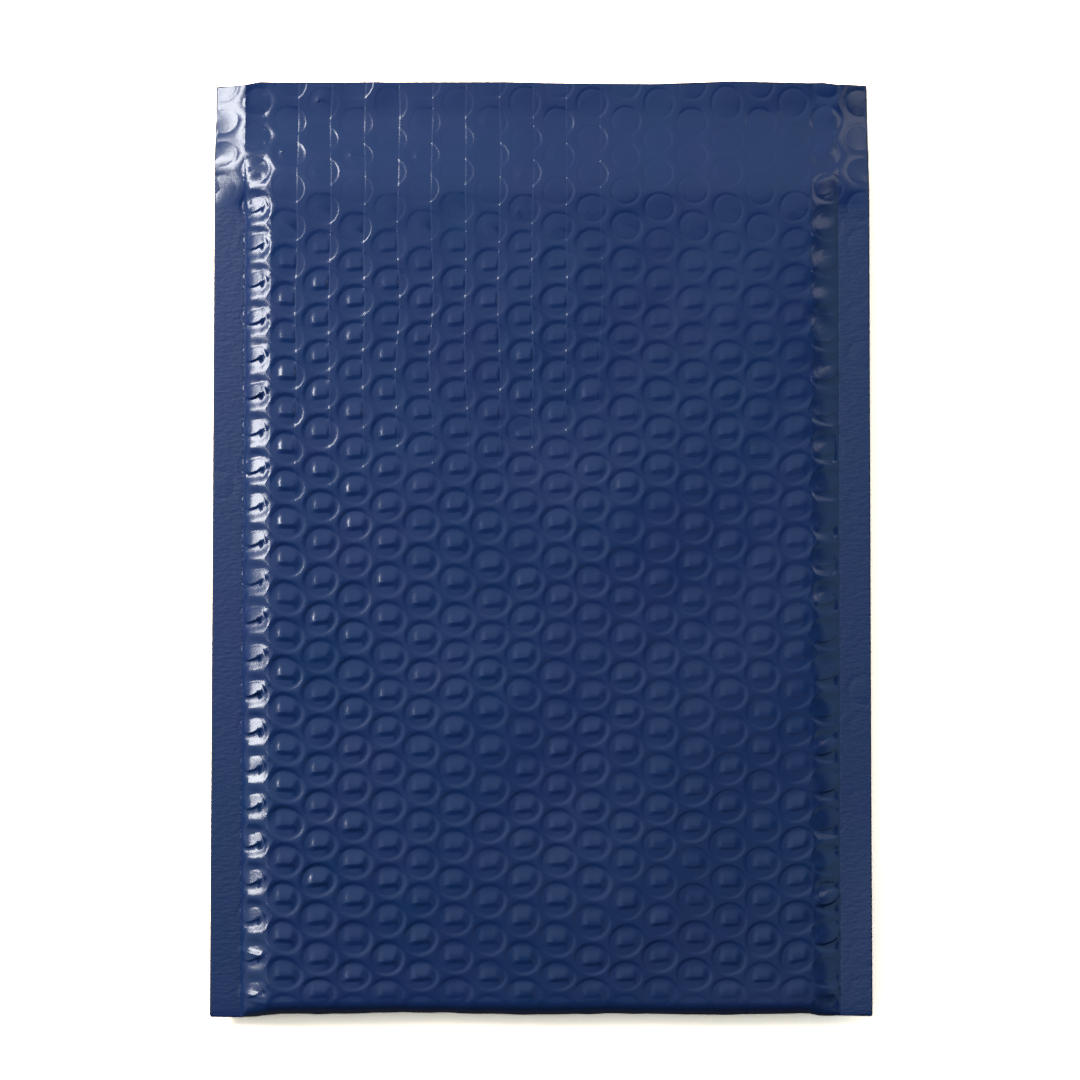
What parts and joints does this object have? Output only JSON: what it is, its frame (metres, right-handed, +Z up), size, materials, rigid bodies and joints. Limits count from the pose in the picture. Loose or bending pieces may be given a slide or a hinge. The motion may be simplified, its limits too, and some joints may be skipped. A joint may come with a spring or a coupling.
{
  "type": "bubble-lined poly mailer",
  "caption": "Flat bubble-lined film mailer lying face down, with heat-sealed sides, a rolled bottom fold, an open pocket and an open flap with a covered adhesive band.",
  "frame": {"origin": "under the middle of the mailer, on the surface that it rests on", "axes": "+Z up through the back panel, +Y along the mailer towards the flap's cut edge, +X across it"},
  "size_m": [0.2012, 0.286, 0.011],
  "materials": {
    "film": "satin dark blue film, heat-laminated to a bubble lining",
    "adhesive": "clear hot-melt adhesive",
    "liner": "white siliconised release liner, satin"
  },
  "bodies": {
    "root": {"pouch": "film", "adhesive_strip": "adhesive", "release_liner": "liner"}
  },
  "joints": []
}
